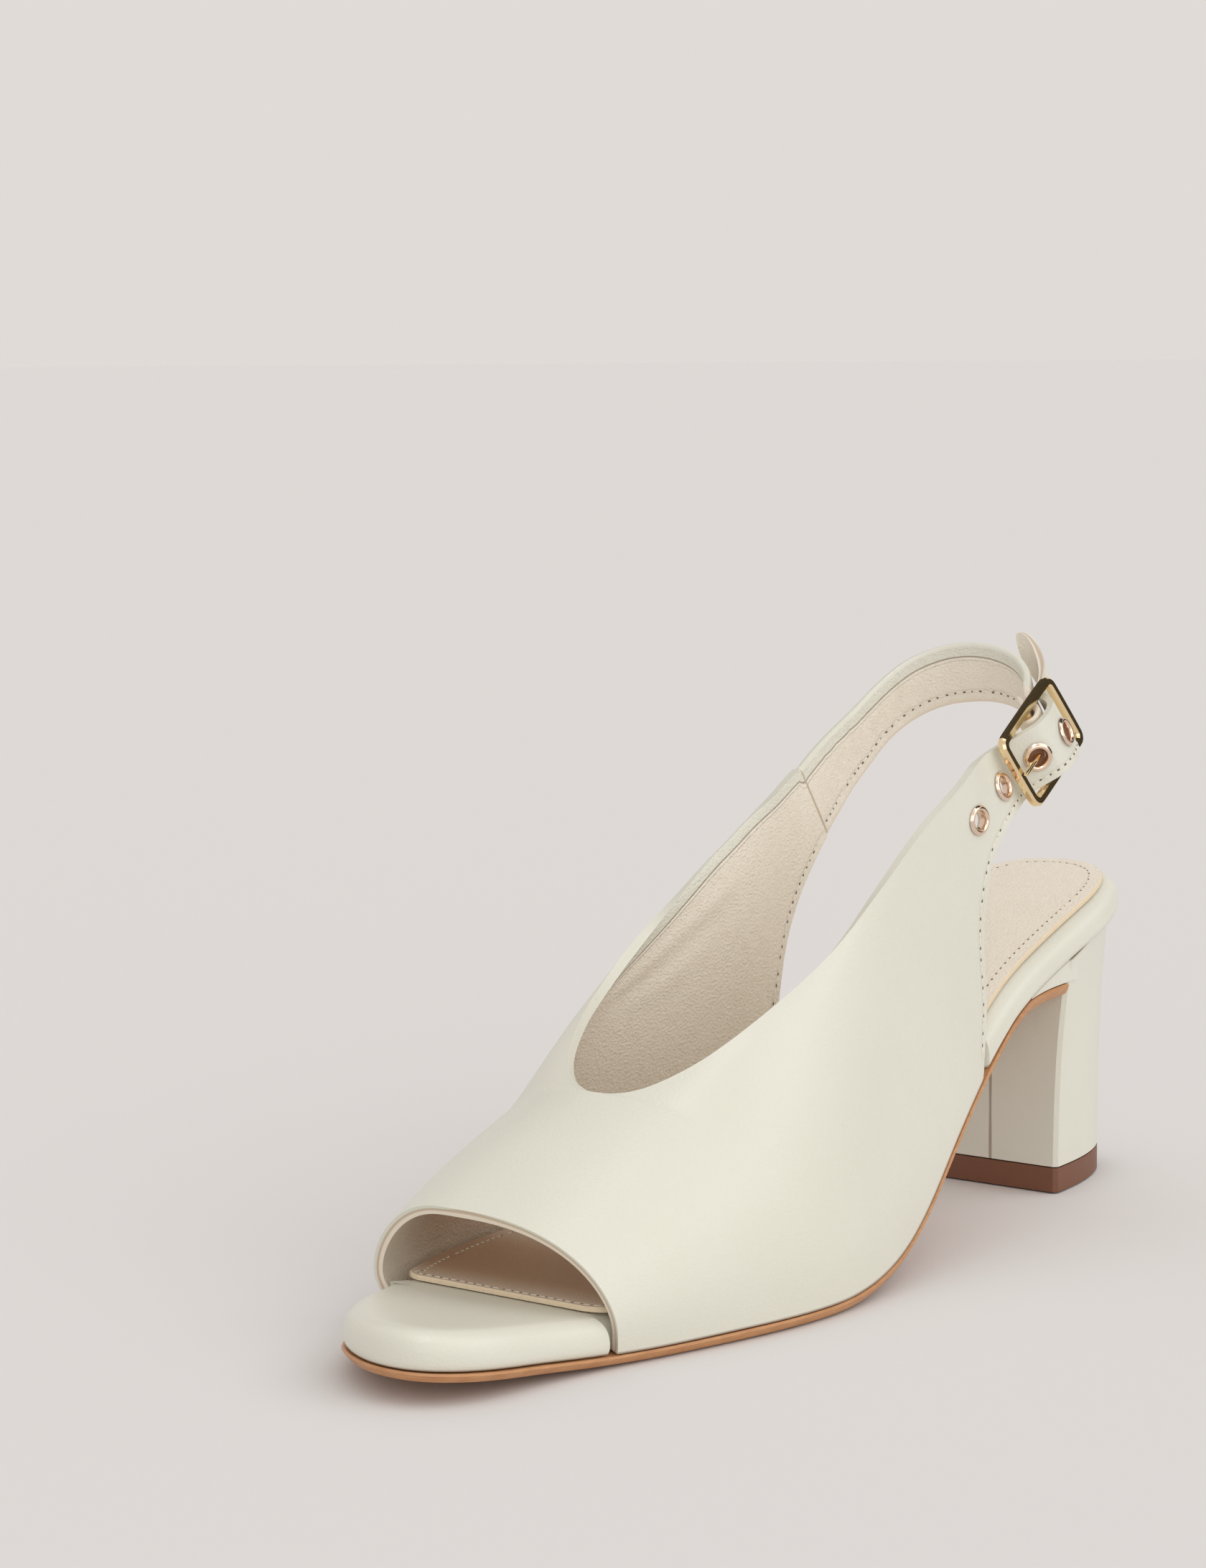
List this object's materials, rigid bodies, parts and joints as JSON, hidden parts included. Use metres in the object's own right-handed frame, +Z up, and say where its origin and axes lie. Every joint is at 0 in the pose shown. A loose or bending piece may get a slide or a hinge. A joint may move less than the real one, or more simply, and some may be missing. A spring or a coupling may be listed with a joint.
{
  "type": "slingback sandal",
  "caption": "Open-toed slingback sandal in smooth pale leather, with a deep-cut vamp, a buckled heel strap and a leather-covered block heel; left shoe.",
  "frame": {"origin": "centre of the shoe's outer box, on the floor plane under it", "axes": "+Y runs from the toe to the heel, +X to the wearer's left, which is the outer side of this left shoe, and +Z is up"},
  "size_m": [0.0776, 0.2486, 0.1251],
  "materials": {
    "sole_leather": "waxed tan edge",
    "cover_leather": "smooth, softly glossy",
    "lining_leather": "matt, fine grain",
    "top_rubber": "matt",
    "upper_leather": "smooth, softly glossy, fine grain",
    "gold_metal": "polished pale gold plating",
    "rose_metal": "polished rose gold plating"
  },
  "bodies": {
    "root": {"outsole": "sole_leather", "footbed": "cover_leather", "sock_lining": "lining_leather", "heel_block": "cover_leather", "top_piece": "top_rubber", "vamp_upper": "upper_leather", "slingback_strap": "upper_leather", "buckle_frame": "gold_metal", "buckle_prong": "gold_metal", "eyelet_1": "rose_metal", "eyelet_2": "rose_metal", "eyelet_3": "rose_metal", "eyelet_4": "rose_metal"}
  },
  "joints": []
}
